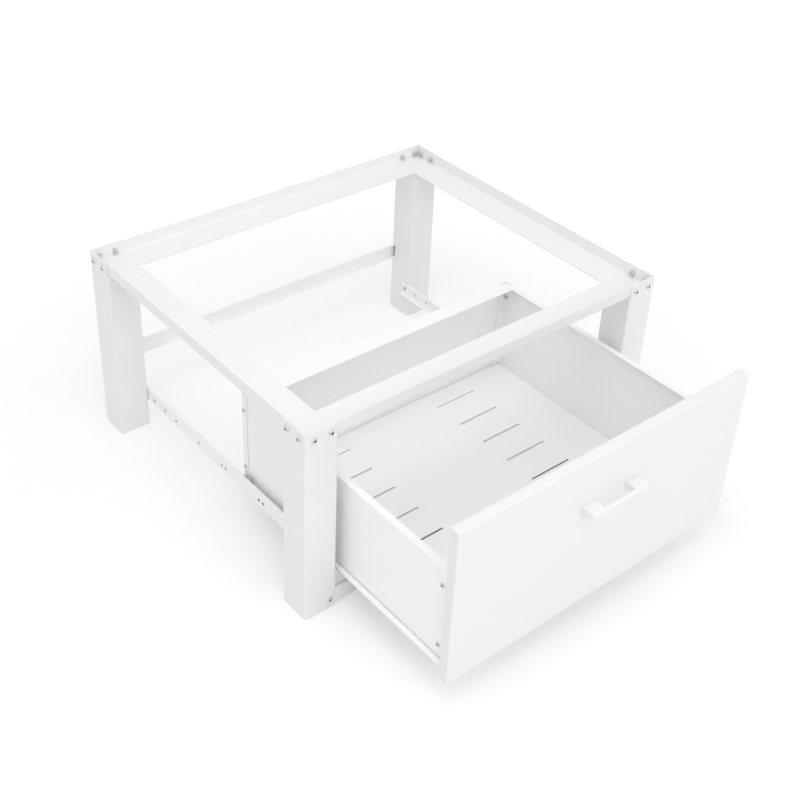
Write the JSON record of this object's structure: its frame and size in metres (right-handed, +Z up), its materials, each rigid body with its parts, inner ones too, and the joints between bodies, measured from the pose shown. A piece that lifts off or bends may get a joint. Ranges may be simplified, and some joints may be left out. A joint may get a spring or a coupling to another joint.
{
  "type": "washer pedestal drawer",
  "caption": "Open white steel pedestal that raises a washing machine, with a rimmed seat on top, box legs and a pull-out storage drawer on roller runners.",
  "frame": {"origin": "on the floor, under the middle of the part's bounding box with the drawer open as at rest", "axes": "+X to the right as seen by someone in front of the drawer, +Y from the drawer's front to the rear of the stand, +Z up"},
  "size_m": [0.635, 0.7832, 0.31],
  "materials": {
    "white_enamel": "smooth white powder coat, satin",
    "white_plastic": "moulded white plastic, satin to glossy",
    "roller_plastic": "pale grey nylon",
    "zinc_steel": "bright zinc plate"
  },
  "bodies": {
    "stand": {"leg_front_left": "white_enamel", "leg_front_right": "white_enamel", "leg_rear_left": "white_enamel", "leg_rear_right": "white_enamel", "top_rail_front": "white_enamel", "top_rail_rear": "white_enamel", "top_rail_left": "white_enamel", "top_rail_right": "white_enamel", "crossbar_front": "white_enamel", "crossbar_rear": "white_enamel", "fixed_runner_left": "white_enamel", "fixed_runner_right": "white_enamel", "rail_bolt_front_left_end_1": "zinc_steel", "rail_bolt_front_left_end_2": "zinc_steel", "rail_bolt_front_left_side_1": "zinc_steel", "rail_bolt_front_left_side_2": "zinc_steel", "rail_bolt_front_right_end_1": "zinc_steel", "rail_bolt_front_right_end_2": "zinc_steel", "rail_bolt_front_right_side_1": "zinc_steel", "rail_bolt_front_right_side_2": "zinc_steel", "rail_bolt_rear_left_end_1": "zinc_steel", "rail_bolt_rear_left_end_2": "zinc_steel", "rail_bolt_rear_left_side_1": "zinc_steel", "rail_bolt_rear_left_side_2": "zinc_steel", "rail_bolt_rear_right_end_1": "zinc_steel", "rail_bolt_rear_right_end_2": "zinc_steel", "rail_bolt_rear_right_side_1": "zinc_steel", "rail_bolt_rear_right_side_2": "zinc_steel", "crossbar_bolt_front_left": "zinc_steel", "crossbar_bolt_front_right": "zinc_steel", "crossbar_bolt_rear_left": "zinc_steel", "crossbar_bolt_rear_right": "zinc_steel", "runner_screw_front_left": "zinc_steel", "runner_screw_rear_left": "zinc_steel", "runner_screw_front_right": "zinc_steel", "runner_screw_rear_right": "zinc_steel"},
    "drawer": {"drawer_front": "white_enamel", "drawer_inner_front": "white_enamel", "drawer_back": "white_enamel", "drawer_floor": "white_enamel", "drawer_side_left": "white_enamel", "drawer_side_right": "white_enamel", "moving_runner_left": "white_enamel", "moving_runner_right": "white_enamel", "handle": "white_plastic", "handle_screw_left": "zinc_steel", "handle_screw_right": "zinc_steel", "box_screw_rear_left_upper": "zinc_steel", "box_screw_rear_left_lower": "zinc_steel", "box_screw_rear_right_upper": "zinc_steel", "box_screw_rear_right_lower": "zinc_steel", "box_screw_front_left_upper": "zinc_steel", "box_screw_front_left_lower": "zinc_steel", "box_screw_front_right_upper": "zinc_steel", "box_screw_front_right_lower": "zinc_steel"},
    "front_roller_left": {"front_roller_left": "roller_plastic"},
    "front_roller_right": {"front_roller_right": "roller_plastic"},
    "rear_roller_left": {"rear_roller_left": "roller_plastic"},
    "rear_roller_right": {"rear_roller_right": "roller_plastic"}
  },
  "joints": [
    {"name": "drawer_slide", "type": "slide", "parent": "stand", "child": "drawer", "axis": [0, -1, 0], "range_m": [-0.2186, 0.12]},
    {"name": "front_roller_left_spin", "type": "hinge", "parent": "stand", "child": "front_roller_left", "pos_m": [-0.2603, -0.12345, 0.0515], "axis": [1, 0, 0], "range_deg": [-1927, 1058]},
    {"name": "front_roller_right_spin", "type": "hinge", "parent": "stand", "child": "front_roller_right", "pos_m": [0.2603, -0.12345, 0.0515], "axis": [1, 0, 0], "range_deg": [-1927, 1058]},
    {"name": "rear_roller_left_spin", "type": "hinge", "parent": "drawer", "child": "rear_roller_left", "pos_m": [-0.2599, 0.07445, 0.055], "axis": [1, 0, 0], "range_deg": [-1253, 688]},
    {"name": "rear_roller_right_spin", "type": "hinge", "parent": "drawer", "child": "rear_roller_right", "pos_m": [0.2599, 0.07445, 0.055], "axis": [1, 0, 0], "range_deg": [-1253, 688]}
  ],
  "couplings": [
    {"joint": "front_roller_left_spin", "follows": "drawer_slide", "rad_per_m": 153.85},
    {"joint": "front_roller_right_spin", "follows": "drawer_slide", "rad_per_m": 153.85},
    {"joint": "rear_roller_left_spin", "follows": "drawer_slide", "rad_per_m": 100},
    {"joint": "rear_roller_right_spin", "follows": "drawer_slide", "rad_per_m": 100}
  ]
}
